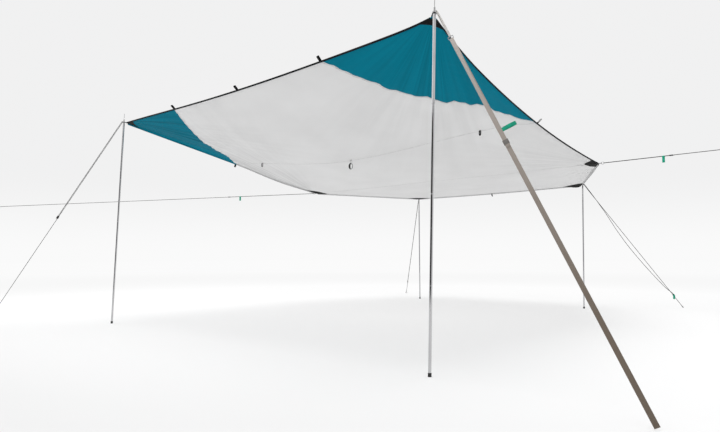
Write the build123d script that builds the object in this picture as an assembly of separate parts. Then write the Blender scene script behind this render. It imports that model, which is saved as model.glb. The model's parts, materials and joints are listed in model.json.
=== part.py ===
from build123d import *
from math import atan2, degrees, exp, pi, radians, sin, tan
import os

# Tarp shelter: a sagging six-cornered canopy on four steel poles, held out by six guys.
# Millimetres, +Z up. X runs along the high front edge, Y from that edge to the low rear edge.
# The origin is on the ground below the middle of the shelter.

# ---- driving dimensions -------------------------------------------------------------------
FRONT_Y = -2319                  # Y of the front edge
SIDE_RUN = 3000                  # from the front edge back to the side corners
REAR_RUN = 4690                  # from the front edge back to the rear edge
FRONT_HALF, SIDE_HALF, REAR_HALF = 1984, 2041, 1322
FRONT_HIGH, SIDE_HIGH, REAR_HIGH = 2155, 1640, 1645
BELLY_HIGH = 1630                # lowest level of the canopy's middle
PEAK_RISE, PEAK_SPREAD = 35, 190  # how far the front right corner is drawn up, and how widely
TIP_RISE = 8                     # brings the cloth's tip there up to its eyelet, against the droop
FRONT_DIP = 35                   # sag of the middle of the front edge
BELLY_FALL = 4.8                 # how quickly the middle falls away behind the front edge
CROWN = 1.6                      # how quickly the canopy rises from the middle to its sides
DROOP = 118                      # extra sag of the right-hand side edge
CLOTH = 1.5                      # canopy thickness
HEM_WIDE, HEM_HIGH = 3, 12       # binding along the cut edge
PATCH_LONG, PATCH_THICK = 190, 1.5
SEAM_WIDE = 12
CORNER_CUT = 15                  # from the eyelet's centre to the cloth's tip
TIP_ROOM = 18                    # the binding stops this far from an eyelet's centre
SIDE_EYELET_OUT = 11             # a side eyelet stands outside the cloth's tip

TUBE_R, TUBE_WALL = 9.5, 1.0
SECTION = 547                    # visible length of one pole section
SPIGOT_LONG, SPIGOT_ROOT, SPIGOT_WALL, SPIGOT_GAP = 70, 40, 1.0, 0.35
FOOT_R, FOOT_HIGH, FOOT_SOLE = 11, 24, 5
SHOULDER_GAP = 6.5               # from the eyelet's middle down to the pole's shoulder
FERRULE_R, FERRULE_LONG, SPIKE_R, SPIKE_LONG = 6, 42, 2.5, 50

EYELET_BORE, EYELET_R, EYELET_THICK = 7.5, 12.5, 4
TAB_WIDE, TAB_THICK, TAB_LONG = 28, 2, 75
LOOP_LONG, LOOP_WIDE, LOOP_DEEP, LOOP_THICK = 44, 14, 10, 2
LOOP_UP, LOOP_DOWN = 130, 25     # edge loops stand up or hang, turned this far from hanging straight
LOOP_INSET = 8                   # sewn in behind the edge
LANTERN_RING_R, LANTERN_WIRE_R = 24, 2.2

GUY_R, THIN_GUY_R = 2.5, 2.0     # side and rear guys, left front guy
RING_R, RING_WIRE_R = 13.5, 1.75
RING_OUT, RING_UP = 5, 7         # a pole's ring from the eyelet's middle
SIDE_RING_OUT = 18.5             # a side ring passes through its eyelet
LEG_GAP = 9                      # between the two legs of a doubled guy
SLIDER_LONG, SLIDER_WIDE, SLIDER_THICK, BORE_GAP = 30, 22, 10, 0.45
TAIL = 26                        # what is left of the cord below its slider
END_EYE_R, END_UP = 12, 14       # the tied eye, and its height where it lies on the ground
STRAP_WIDE, STRAP_THICK, STRAP_GAP = 25, 1.6, 6
LINK_WIDE, LINK_THICK = 14, 2.0
STRAP_RING_HIGH, STRAP_RING_WIRE = 18, 3
BUCKLE_LONG, BUCKLE_WIDE, BUCKLE_THICK = 30, 31, 11
RIBBON_LONG, RIBBON_WIDE, RIBBON_THICK = 62, 22, 3


# ---- places ---------------------------------------------------------------------------------
def at(x, run, z):
    """A point given by its distance behind the front edge."""
    return Vector(x, FRONT_Y + run, z)


# name: eyelet, foot, number of pole sections
POLES = {
    "front_right": (at(FRONT_HALF, 0, FRONT_HIGH + PEAK_RISE), at(1942, -34, 0), 4),
    "front_left": (at(-FRONT_HALF, 0, FRONT_HIGH), at(-2007, -55, 0), 4),
    "rear_right": (at(REAR_HALF, REAR_RUN, REAR_HIGH), at(1289, REAR_RUN, 0), 3),
    "rear_left": (at(-REAR_HALF, REAR_RUN, REAR_HIGH), at(-1320, REAR_RUN - 3, 0), 3),
}
SIDES = {
    "right_side": at(SIDE_HALF + SIDE_EYELET_OUT, SIDE_RUN, SIDE_HIGH),
    "left_side": at(-SIDE_HALF - SIDE_EYELET_OUT, SIDE_RUN, SIDE_HIGH),
}
CORNERS = {name: pole[0] for name, pole in POLES.items()} | SIDES
OUTLINE = ["front_left", "front_right", "right_side", "rear_right", "rear_left", "left_side"]
MIDDLE = at(0, 2300, 0)

# name: (far end, distance from ring to slider, cord radius)
GUYS = {
    "front_left": (at(-3200, -845, END_UP), 1250, THIN_GUY_R),
    "right_side": (at(3175, 3019, 1651), 600, GUY_R),
    "left_side": (at(-5840, -188, 1448), 1270, GUY_R),
    "rear_left": (at(-2194, 5527, END_UP), 1760, GUY_R),
    "rear_right": (at(2296, 5531, END_UP), 1870, GUY_R),
}
RIBBONS = {"right_side": 535, "left_side": 1105, "rear_right": 1870}  # distances from the ring
STRAP_END = at(3181, -259, 8)
STRAP_RING, STRAP_RIBBON, STRAP_BUCKLE = 225, 945, 1022   # distances from the pole's ring
STRAP_FACES = Vector(0.44, -0.87, -0.24)  # the way the flat of the strap faces
RIBBON_SIDE = 1                           # the ribbon stands out on the upper, outer side

# The rear right guy's returning leg hangs slack: (distance from the ring, depth below the taut leg).
SLACK = [
    (46, 0), (112, 3), (184, 5), (255, 8), (329, 13), (402, 17), (474, 22), (545, 29),
    (619, 38), (690, 46), (762, 53), (835, 57), (906, 61), (979, 64), (1052, 65), (1124, 64),
    (1195, 62), (1268, 60), (1340, 57), (1412, 53), (1484, 48), (1557, 43), (1628, 36), (1699, 30),
    (1752, 21), (1800, 10),
]


# ---- canopy ---------------------------------------------------------------------------------
def half_width(run):
    if run < SIDE_RUN:
        return FRONT_HALF + (SIDE_HALF - FRONT_HALF) * run / SIDE_RUN
    return SIDE_HALF + (REAR_HALF - SIDE_HALF) * (run - SIDE_RUN) / (REAR_RUN - SIDE_RUN)


def canopy_height(x, run):
    """Height of the cloth: straight sides, a belly between them, a droop and a peak at the right."""
    side = SIDE_HIGH + (FRONT_HIGH - SIDE_HIGH) * max(0, 1 - run / SIDE_RUN)
    fall = max(0, 1 - max(run, 0) / REAR_RUN) ** BELLY_FALL
    middle = BELLY_HIGH + (FRONT_HIGH - FRONT_DIP - BELLY_HIGH) * fall
    across = min(1, abs(x) / half_width(run))
    droop = 0
    if x > 0 and 0 < run < SIDE_RUN:
        droop = DROOP * sin(pi * (run / SIDE_RUN) ** 0.85) ** 0.9 * across**3
    peak = (PEAK_RISE + TIP_RISE) * exp(-((x - FRONT_HALF) ** 2 + run**2) / PEAK_SPREAD**2)
    return side - (side - middle) * (1 - across**2) ** CROWN - droop + peak


def cloth_slab(low, high):
    """The canopy's curved sheet between two heights above its middle surface, wider than the canopy."""
    across, along = 33, 41
    reach_x, reach_run = SIDE_HALF + 60, REAR_RUN + 120
    grid = []
    for i in range(across):
        x = -reach_x + 2 * reach_x * i / (across - 1)
        row = []
        for j in range(along):
            run = -60 + reach_run * j / (along - 1)
            row.append(at(x, run, canopy_height(x, run) + low))
        grid.append(row)
    sheet = Face.make_surface_from_array_of_points(grid, tol=0.05)
    return extrude(sheet, amount=high - low, dir=(0, 0, 1))


def flat(point):
    return Vector(point.X, point.Y, 0)


def inward(corner):
    return (MIDDLE - flat(corner)).normalized()


def outline_points(grow=0):
    """The cloth's plan corners: each stops short of its eyelet; grow moves them outwards."""
    points = []
    for name in OUTLINE:
        corner = CORNERS[name]
        points.append(flat(corner) + inward(corner) * (CORNER_CUT - grow))
    return points


def prism(points, bottom=1200, top=2600):
    """An upright block over a plan polygon."""
    face = make_face(Polyline(*points, close=True))
    return extrude(face.moved(Location((0, 0, bottom))), amount=top - bottom, dir=(0, 0, 1))


def corner_triangle(side):
    """Plan outline of a coloured front corner panel, side +1 right, -1 left, past the cloth's edge."""
    seam_front = at(side * FRONT_HALF / 2, 0, 0)
    seam_side = at(side * half_width(SIDE_RUN / 2), SIDE_RUN / 2, 0)
    along = (seam_side - seam_front).normalized()
    outer = at(side * (FRONT_HALF + 400), -400, 0)
    return [seam_front - along * 300, outer, seam_side + along * 300]


def canopy_panels():
    cloth = cloth_slab(-CLOTH / 2, CLOTH / 2) & prism(outline_points())
    right, left = prism(corner_triangle(1)), prism(corner_triangle(-1))
    return {
        "canopy_main_panel": cloth - right - left,
        "canopy_front_right_panel": cloth & right,
        "canopy_front_left_panel": cloth & left,
    }


def binding():
    """The tape that closes the cut edge all round."""
    slab = cloth_slab(-HEM_HIGH / 2, HEM_HIGH / 2)
    tape = (slab & prism(outline_points(HEM_WIDE))) - prism(outline_points())
    for corner in CORNERS.values():
        tape -= Pos(*corner) * Cylinder(TIP_ROOM, 100)
    return Compound(children=tape.solids())


def corner_patches():
    """Reinforcement sewn under each corner, 0.4 mm below the cloth."""
    slab = cloth_slab(-CLOTH / 2 - 0.4 - PATCH_THICK, -CLOTH / 2 - 0.4)
    inner = slab & prism(outline_points(-2))
    patches = []
    for name in OUTLINE:
        corner = flat(CORNERS[name])
        middle = corner + inward(corner) * PATCH_LONG
        wide = inward(corner).rotate(Axis.Z, 90) * PATCH_LONG * 1.1
        outer = corner - inward(corner) * 60
        patches.append(inner & prism([middle + wide, middle - wide, outer - wide * 0.3, outer + wide * 0.3]))
    return Compound(children=[solid for patch in patches for solid in patch.solids()])


def seam_tapes():
    """Two flat-felled seams right across, under the cloth."""
    slab = cloth_slab(-CLOTH / 2 - 1.3, -CLOTH / 2 - 0.4) & prism(outline_points(-6))
    strips = []
    for run in (SIDE_RUN / 2, SIDE_RUN):
        a, b = at(-2200, run - SEAM_WIDE / 2, 0), at(2200, run + SEAM_WIDE / 2, 0)
        strips.append(slab & prism([a, Vector(b.X, a.Y), b, Vector(a.X, b.Y)]))
    return Compound(children=[solid for strip in strips for solid in strip.solids()])


def webbing_loop():
    """A flattened loop of webbing that hangs from its sewn end at the origin."""
    outer = SlotOverall(LOOP_LONG, LOOP_WIDE)
    inner = SlotOverall(LOOP_LONG - 2 * LOOP_THICK, LOOP_WIDE - 2 * LOOP_THICK)
    band = extrude(Plane.XZ * (outer - inner), amount=LOOP_DEEP / 2, both=True)
    return Pos(0, 0, 3 - LOOP_LONG / 2) * Rot(0, 90, 0) * band


def edge_points():
    """Edge loops: x, run, the way outwards, and the angle that each is turned up from hanging."""
    quarter, middle_side = FRONT_HALF / 2, half_width(SIDE_RUN / 2)
    spots = [(x, 0, Vector(0, -1, 0), LOOP_UP) for x in (-quarter, 0, quarter)]
    spots.append((middle_side, SIDE_RUN / 2, Vector(1, 0, 0), LOOP_UP))
    spots.append((-middle_side, SIDE_RUN / 2, Vector(-1, 0, 0), LOOP_DOWN))
    spots.append((0, REAR_RUN, Vector(0, 1, 0), LOOP_DOWN))
    return spots


def edge_loops():
    loops = []
    for x, run, out, tilt in edge_points():
        place = at(x, run, canopy_height(x, run)) - out * LOOP_INSET
        turn = degrees(atan2(out.Y, out.X))
        loops.append(Pos(*place) * Rot(0, 0, turn) * Rot(0, -tilt, 0) * webbing_loop())
    return Compound(children=loops)


LANTERN_SPOTS = [(0, 1480), (1500, 1480), (-1450, 1480), (45, 2980), (1500, 740)]


def lantern_loops():
    """Loops sewn into the seams, which hang below the canopy."""
    return Compound(children=[
        Pos(*at(x, run, canopy_height(x, run) - 2.5)) * webbing_loop() for x, run in LANTERN_SPOTS
    ])


def lantern_ring():
    """Ring that hangs in the middle loop of the first seam, for a lamp."""
    x, run = LANTERN_SPOTS[0]
    loop_bottom = canopy_height(x, run) - 2.5 + 3 - LOOP_LONG
    top_wire = loop_bottom + LOOP_THICK + LANTERN_WIRE_R + 0.4
    ring = Torus(LANTERN_RING_R, LANTERN_WIRE_R)
    return Pos(*at(x, run, top_wire - LANTERN_RING_R)) * Rot(90, 0, 0) * ring


def facing_in(corner):
    """A frame at a corner whose X points inwards and whose Z is up."""
    return Plane(origin=corner, x_dir=inward(corner), z_dir=(0, 0, 1))


def corner_tabs():
    """Webbing tabs that carry the pole eyelets, and the side corners' ring tabs."""
    tabs = []
    for name, corner in CORNERS.items():
        outline = Circle(TAB_WIDE / 2) + Pos(TAB_LONG / 2, 0) * Rectangle(TAB_LONG, TAB_WIDE)
        plate = extrude(outline - Circle(EYELET_BORE + 1), amount=TAB_THICK / 2, both=True)
        tabs.append(facing_in(corner) * plate)
    return Compound(children=[tab.solid() for tab in tabs])


def eyelets():
    """Pressed metal rings through the six tabs."""
    profile = make_face(Polyline(
        (EYELET_BORE, -EYELET_THICK / 2), (EYELET_R, -EYELET_THICK / 2 + 0.4),
        (EYELET_R, -TAB_THICK / 2), (EYELET_BORE + 1, -TAB_THICK / 2),
        (EYELET_BORE + 1, TAB_THICK / 2), (EYELET_R, TAB_THICK / 2),
        (EYELET_R, EYELET_THICK / 2 - 0.4), (EYELET_BORE, EYELET_THICK / 2), close=True))
    ring = revolve(Plane.XZ * profile, Axis.Z)
    return Compound(children=[facing_in(corner) * ring for corner in CORNERS.values()])


# ---- poles ------------------------------------------------------------------------------------
def pole_frame(eyelet, foot):
    """Z along the pole, from the foot towards the eyelet."""
    return Plane(origin=foot, x_dir=(1, 0, 0), z_dir=eyelet - foot)


def section(bottom, top, has_spigot):
    """One tube. Its spigot, pressed into the top end and crimped there, enters the next section."""
    bore = TUBE_R - TUBE_WALL
    if not has_spigot:
        tube = Circle(TUBE_R) - Circle(bore)
        return Pos(0, 0, bottom) * extrude(tube, amount=top - bottom)
    spigot = bore - SPIGOT_GAP
    profile = make_face(Polyline(
        (bore, bottom), (TUBE_R, bottom),
        (TUBE_R, top - 21), (TUBE_R - 0.5, top - 19), (TUBE_R, top - 17),
        (TUBE_R, top - 0.6), (TUBE_R - 0.6, top), (spigot, top),
        (spigot, top + SPIGOT_LONG - 4), (spigot - 0.6, top + SPIGOT_LONG),
        (spigot - SPIGOT_WALL, top + SPIGOT_LONG), (spigot - SPIGOT_WALL, top - SPIGOT_ROOT),
        (bore, top - SPIGOT_ROOT), close=True))
    return revolve(Plane.XZ * profile, Axis.Z)


def foot_cap(frame):
    """Rubber cup on the lowest section, cut off flat at the ground."""
    cup = Pos(0, 0, -5) * extrude(Circle(FOOT_R), amount=FOOT_HIGH + 5)
    cup = chamfer(cup.edges().group_by(Axis.Z)[-1], 1.5)
    cup -= Pos(0, 0, FOOT_SOLE) * extrude(Circle(TUBE_R + 0.2), amount=FOOT_HIGH)
    ground = Pos(*frame.origin) * Pos(0, 0, 50) * Box(100, 100, 100)
    return frame * cup & ground


def pole_tip(shoulder):
    """Turned ferrule that stands on the tube's end, plugs into it, and carries the spike."""
    plug = TUBE_R - TUBE_WALL - 0.3
    base = shoulder - 1.5
    profile = make_face(Polyline(
        (0, base - 25), (plug, base - 25), (plug, base), (TUBE_R, base), (TUBE_R, shoulder),
        (FERRULE_R, shoulder), (FERRULE_R, shoulder + FERRULE_LONG),
        (SPIKE_R, shoulder + FERRULE_LONG + 8), (SPIKE_R, shoulder + FERRULE_LONG + 8 + SPIKE_LONG),
        (0, shoulder + FERRULE_LONG + 8 + SPIKE_LONG + 1.5), close=True))
    return revolve(Plane.XZ * profile, Axis.Z)


def poles():
    nodes = {}
    for name, (eyelet, foot, count) in POLES.items():
        frame = pole_frame(eyelet, foot)
        shoulder = (eyelet - foot).length - SHOULDER_GAP
        for i in range(count):
            bottom = FOOT_SOLE if i == 0 else i * SECTION
            is_top = i == count - 1
            top = shoulder - 1.5 if is_top else (i + 1) * SECTION
            nodes[f"{name}_pole_section_{i + 1}"] = frame * section(bottom, top, not is_top)
        nodes[f"{name}_pole_foot"] = foot_cap(frame)
        nodes[f"{name}_pole_tip"] = frame * pole_tip(shoulder)
    return nodes


# ---- guys ---------------------------------------------------------------------------------------
def outboard(name, far):
    return (flat(far) - flat(CORNERS[name])).normalized()


def ring_plane(name, far):
    """A guy's ring: level round a pole's ferrule, or upright through a side tab's eyelet."""
    corner, out = CORNERS[name], outboard(name, far)
    if name in SIDES:
        return Plane(origin=corner + out * SIDE_RING_OUT, z_dir=out.rotate(Axis.Z, 90))
    return Plane(origin=corner + out * RING_OUT + Vector(0, 0, RING_UP), z_dir=(0, 0, 1))


def guy_frame(name, far):
    """Origin in the ring's wire where the guy turns, X down the guy, Z across its two legs."""
    ring, out = ring_plane(name, far), outboard(name, far)
    turn = ring.origin + out * RING_R
    down = (far - turn).normalized()
    return Plane(origin=turn, x_dir=down, z_dir=(ring.z_dir - down * ring.z_dir.dot(down)))


def rings():
    parts = [ring_plane(name, guy[0]) * Torus(RING_R, RING_WIRE_R) for name, guy in GUYS.items()]
    parts.append(ring_plane("front_right", STRAP_END) * Torus(RING_R, RING_WIRE_R))
    return Compound(children=parts)


def tube_along(path, radius):
    return sweep(Plane(origin=path @ 0, z_dir=path % 0) * Circle(radius), path=path)


def doubled_guy(name):
    """One cord: from its slider up to the ring, round the wire, and straight down to its far end."""
    far, slider, radius = GUYS[name]
    frame = guy_frame(name, far)
    long = (far - frame.origin).length - 2 * END_EYE_R
    half = LEG_GAP / 2
    legs = Line((0, 0, -half), (long, 0, -half))
    legs += ThreePointArc((0, 0, half), (-half, 0, 0), (0, 0, -half))
    if name != "rear_right":
        legs += Line((slider + TAIL, 0, half), (0, 0, half))
    path = Wire([frame.from_local_coords(edge) for edge in legs.edges()])
    print(name, "guy is", round(path.length), "mm long, turned at radius", half)
    return tube_along(path, radius)


def arc_radii(points):
    """0.45 of the shorter run over the tangent of half the turn, at each inner point."""
    radii = []
    for before, here, after in zip(points, points[1:], points[2:]):
        first, second = here - before, after - here
        half_turn = radians(first.get_angle(second)) / 2
        radii.append(0.45 * min(first.length, second.length) / tan(half_turn))
    return radii


def slack_leg():
    """The rear right guy's returning leg, from the ring's turn to the tail below the slider."""
    far, slider, radius = GUYS["rear_right"]
    half = LEG_GAP / 2
    hang = [(distance, 0, half - depth) for distance, depth in SLACK]
    tail = [(slider - 40, 0, half), (slider + TAIL, 0, half)]
    local = [(0, 0, half)] + hang + tail
    frame = guy_frame("rear_right", far)
    points = [frame.from_local_coords(Vector(*point)) for point in local]
    radii = arc_radii(points)
    print("slack leg arc radii", round(min(radii)), "to", round(max(radii)))
    return tube_along(FilletPolyline(*points, radius=radii), radius)


def slider_block(name):
    """Plastic slider with one bore for each leg."""
    far, slider, radius = GUYS[name]
    block = Box(SLIDER_LONG, SLIDER_THICK, SLIDER_WIDE)
    block = fillet(block.edges().filter_by(Axis.X), 3)
    for side in (-1, 1):
        bore = Rot(0, 90, 0) * Cylinder(radius + BORE_GAP, SLIDER_LONG * 2)
        block -= Pos(0, 0, side * LEG_GAP / 2) * bore
    return guy_frame(name, far) * Pos(slider, 0, 0) * block


def guy_ribbon(name):
    """Folded pull tab that hangs under the guy's legs, or beside its slider where it slopes steeply."""
    frame = guy_frame(name, GUYS[name][0])
    beside, drop = 0, RIBBON_LONG / 2
    if name not in SIDES:
        beside, drop = (SLIDER_THICK + RIBBON_THICK) / 2, RIBBON_LONG / 2 - 10
    top = frame.from_local_coords(Vector(RIBBONS[name], -beside, 0))
    hang = Plane(origin=top - Vector(0, 0, drop), x_dir=flat(frame.x_dir), z_dir=(0, 0, 1))
    return hang * Box(RIBBON_WIDE, RIBBON_THICK, RIBBON_LONG)


def end_eyes():
    """The tied eye at the far end of each cord."""
    eyes = []
    for name, (far, _, radius) in GUYS.items():
        frame = guy_frame(name, far)
        long = (far - frame.origin).length
        eyes.append(frame * Pos(long - END_EYE_R, 0, -LEG_GAP / 2) * Torus(END_EYE_R, radius))
    return Compound(children=eyes)


def strap_frame(distance=0):
    """As guy_frame, for the flat strap: Z is the way its flat faces."""
    turn = guy_frame("front_right", STRAP_END).origin
    down = (STRAP_END - turn).normalized()
    faces = STRAP_FACES - down * STRAP_FACES.dot(down)
    return Plane(origin=turn + down * distance, x_dir=down, z_dir=faces)


def link_frame():
    return guy_frame("front_right", STRAP_END)


def strap_link():
    """Closed loop of narrow webbing from the pole's ring to the square ring."""
    outer_high = 2 * RING_WIRE_R + 2 * LINK_THICK + 1.2
    inner_high = outer_high - 2 * LINK_THICK
    outer = SlotCenterToCenter(STRAP_RING, outer_high)
    inner = SlotCenterToCenter(STRAP_RING, inner_high)
    band = extrude(Plane.XZ * (outer - inner), amount=LINK_WIDE / 2, both=True)
    return link_frame() * Pos(STRAP_RING / 2, 0, 0) * band


def strap_ring():
    """Square ring between the link and the strap."""
    wire, high, wide = STRAP_RING_WIRE, STRAP_RING_HIGH, STRAP_WIDE + 3
    outer = RectangleRounded(high + wire, wide + 2 * wire, 4)
    inner = RectangleRounded(high - wire, wide, 1.5)
    ring = extrude(outer - inner, amount=wire / 2, both=True)
    return strap_frame(STRAP_RING + high / 2) * ring


def strap():
    """One webbing: from the buckle up to the square ring, round its lower bar, and down to the end."""
    top = STRAP_RING + STRAP_RING_HIGH
    half = STRAP_GAP / 2
    long = (STRAP_END - strap_frame().origin).length - top
    legs = Line((0, 0, -half), (long, 0, -half))
    legs += ThreePointArc((0, 0, half), (-half, 0, 0), (0, 0, -half))
    legs += Line((STRAP_BUCKLE - top + TAIL, 0, half), (0, 0, half))
    frame = strap_frame(top)
    path = Wire([frame.from_local_coords(edge) for edge in legs.edges()])
    print("strap is", round(path.length), "mm long")
    start = Plane(origin=path @ 0, x_dir=frame.y_dir, z_dir=path % 0)
    return sweep(start * Rectangle(STRAP_WIDE, STRAP_THICK), path=path)


def strap_buckle():
    """Ladder-lock buckle: a frame that both webbings pass through."""
    block = Box(BUCKLE_LONG, BUCKLE_WIDE, BUCKLE_THICK)
    block = fillet(block.edges().filter_by(Axis.Y), 3)
    slot = Box(BUCKLE_LONG * 2, STRAP_WIDE + 2, STRAP_THICK + 1.2)
    for side in (-1, 1):
        block -= Pos(0, 0, side * STRAP_GAP / 2) * slot
    return strap_frame(STRAP_BUCKLE) * block


def strap_ribbon():
    """Pull tab sewn to the strap's doubled webbing, which stands out sideways."""
    long = RIBBON_LONG + 20
    tab = Box(RIBBON_WIDE, long, RIBBON_THICK)
    return strap_frame(STRAP_RIBBON) * Pos(0, RIBBON_SIDE * (STRAP_WIDE + long - 4) / 2, 0) * tab


def main():
    os.makedirs("parts", exist_ok=True)
    nodes = canopy_panels() | {
        "edge_binding": binding(),
        "corner_patches": corner_patches(),
        "seam_tapes": seam_tapes(),
        "edge_loops": edge_loops(),
        "lantern_loops": lantern_loops(),
        "lantern_ring": lantern_ring(),
        "corner_tabs": corner_tabs(),
        "eyelets": eyelets(),
        "guy_rings": rings(),
        "guy_end_eyes": end_eyes(),
        "rear_right_guy_slack_leg": slack_leg(),
        "front_right_guy_link": strap_link(),
        "front_right_guy_ring": strap_ring(),
        "front_right_guy_strap": strap(),
        "front_right_guy_buckle": strap_buckle(),
        "front_right_guy_ribbon": strap_ribbon(),
    } | poles()
    for name in GUYS:
        nodes[f"{name}_guy"] = doubled_guy(name)
        nodes[f"{name}_guy_slider"] = slider_block(name)
    for name in ("right_side", "left_side", "rear_right"):
        nodes[f"{name}_guy_ribbon"] = guy_ribbon(name)
    for name, shape in nodes.items():
        export_step(shape, f"parts/{name}.step")


main()
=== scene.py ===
import bpy
import bmesh
import json
from math import atan2, cos, exp, hypot, pi, radians, sin
from mathutils import Matrix, Vector, noise


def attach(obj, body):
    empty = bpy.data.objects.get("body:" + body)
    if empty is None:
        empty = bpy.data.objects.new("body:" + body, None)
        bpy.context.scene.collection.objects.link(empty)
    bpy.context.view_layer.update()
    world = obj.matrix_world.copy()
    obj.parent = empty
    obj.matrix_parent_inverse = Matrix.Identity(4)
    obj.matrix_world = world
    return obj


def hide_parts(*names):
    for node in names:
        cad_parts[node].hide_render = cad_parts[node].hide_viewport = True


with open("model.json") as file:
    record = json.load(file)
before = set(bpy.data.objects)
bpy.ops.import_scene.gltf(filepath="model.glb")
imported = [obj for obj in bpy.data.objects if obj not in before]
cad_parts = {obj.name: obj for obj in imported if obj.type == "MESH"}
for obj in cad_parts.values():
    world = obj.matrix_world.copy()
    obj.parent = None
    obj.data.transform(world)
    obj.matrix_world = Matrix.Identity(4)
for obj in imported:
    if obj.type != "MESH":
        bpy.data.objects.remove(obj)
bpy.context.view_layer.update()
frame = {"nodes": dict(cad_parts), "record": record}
scene = bpy.context.scene

# ---- the shelter's dimensions, in metres, as the CAD model has them --------------------
FRONT_Y = -2.3190
SIDE_RUN, REAR_RUN = 3.0, 4.69
FRONT_HALF, SIDE_HALF, REAR_HALF = 1.984, 2.041, 1.322
FRONT_HIGH, SIDE_HIGH, REAR_HIGH = 2.155, 1.640, 1.645
BELLY_HIGH, FRONT_DIP, BELLY_FALL, CROWN, DROOP = 1.630, 0.035, 4.8, 1.6, 0.118
CORNER_CUT, SIDE_EYELET_OUT = 0.015, 0.011
PEAK_RISE, PEAK_SPREAD = 0.035, 0.190
TIP_ROOM = 0.045                  # the binding stops this far from an eyelet, clear of a tilting pole
LEG_GAP, SLIDER_TAIL, END_EYE_R = 0.009, 0.026, 0.012
RING_R, RING_OUT, RING_UP, SIDE_RING_OUT = 0.0135, 0.005, 0.007, 0.0185
STRAP_WIDE, STRAP_THICK, STRAP_GAP, STRAP_TAIL = 0.025, 0.0016, 0.006, 0.032


def at(x, run, z=0.0):
    """A point given by its distance behind the front edge."""
    return Vector((x, FRONT_Y + run, z))


# In order round the canopy.
CORNERS = {
    "front_left": at(-FRONT_HALF, 0, FRONT_HIGH),
    "front_right": at(FRONT_HALF, 0, FRONT_HIGH + PEAK_RISE),
    "right_side": at(SIDE_HALF + SIDE_EYELET_OUT, SIDE_RUN, SIDE_HIGH),
    "rear_right": at(REAR_HALF, REAR_RUN, REAR_HIGH),
    "rear_left": at(-REAR_HALF, REAR_RUN, REAR_HIGH),
    "left_side": at(-SIDE_HALF - SIDE_EYELET_OUT, SIDE_RUN, SIDE_HIGH),
}
SIDES = ("right_side", "left_side")
MIDDLE = at(0, 2.3)


def flat(point):
    return Vector((point.x, point.y, 0))


def inward(name):
    return (MIDDLE - flat(CORNERS[name])).normalized()


def smooth(low, high, value):
    t = min(1.0, max(0.0, (value - low) / (high - low)))
    return t * t * (3 - 2 * t)


# ---- camera --------------------
def make_camera():
    """Stands low in front of the front right pole and looks up across the shelter."""
    data = bpy.data.cameras.new("camera")
    data.sensor_width, data.lens = 36, 27.05
    data.clip_end = 200
    camera = bpy.data.objects.new("camera", data)
    scene.collection.objects.link(camera)
    yaw, pitch, roll = radians(-40.38), radians(4.158), radians(-0.12)
    forward = Vector((sin(yaw) * cos(pitch), cos(yaw) * cos(pitch), sin(pitch)))
    right = Vector((cos(yaw), -sin(yaw), 0))
    up = right.cross(forward)
    right, up = right * cos(roll) + up * sin(roll), up * cos(roll) - right * sin(roll)
    turn = Matrix((right, up, -forward)).transposed()
    camera.matrix_world = Matrix.Translation(at(3.720, -2.750, 0.709)) @ turn.to_4x4()
    scene.camera = camera


make_camera()


# ---- small helpers --------------------
def finished(name, build):
    """The mesh of a bmesh, which is freed."""
    mesh = bpy.data.meshes.new(name)
    build.to_mesh(mesh)
    build.free()
    return mesh


def join_rows(build, a, b, closed=False):
    """Faces between two rows of vertices, which may close into rings."""
    for i in range(len(a) if closed else len(a) - 1):
        m = (i + 1) % len(a)
        build.faces.new((a[i], a[m], b[m], b[i]))


def add(name, data, slot, node=None, material=None, body="canopy"):
    """Links a mesh or curve as a piece of a body. It fills a material slot, and is painted with that
    slot's material unless another is named. It takes the place of a CAD node if one is given."""
    piece = bpy.data.objects.new(name, data)
    scene.collection.objects.link(piece)
    data.materials.clear()
    data.materials.append(M[material or slot])
    if isinstance(data, bpy.types.Mesh):
        for face in data.polygons:
            face.use_smooth = True
    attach(piece, body)
    if node:
        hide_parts(node)
    return piece


def axes(origin, down, across):
    """A frame whose X runs down the guy and whose Z is as near across as it can be."""
    z = (across - down * across.dot(down)).normalized()
    turn = Matrix((down, z.cross(down), z)).transposed().to_4x4()
    return Matrix.Translation(origin) @ turn


def guy_axes(name, far):
    """Origin where the guy turns round its ring, X down the guy, Z across its two legs."""
    corner = CORNERS[name]
    out = (flat(far) - flat(corner)).normalized()
    if name in SIDES:
        turn, across = corner + out * (SIDE_RING_OUT + RING_R), Vector((-out.y, out.x, 0))
    else:
        turn = corner + out * (RING_OUT + RING_R) + Vector((0, 0, RING_UP))
        across = Vector((0, 0, 1))
    return axes(turn, (far - turn).normalized(), across)


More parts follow.
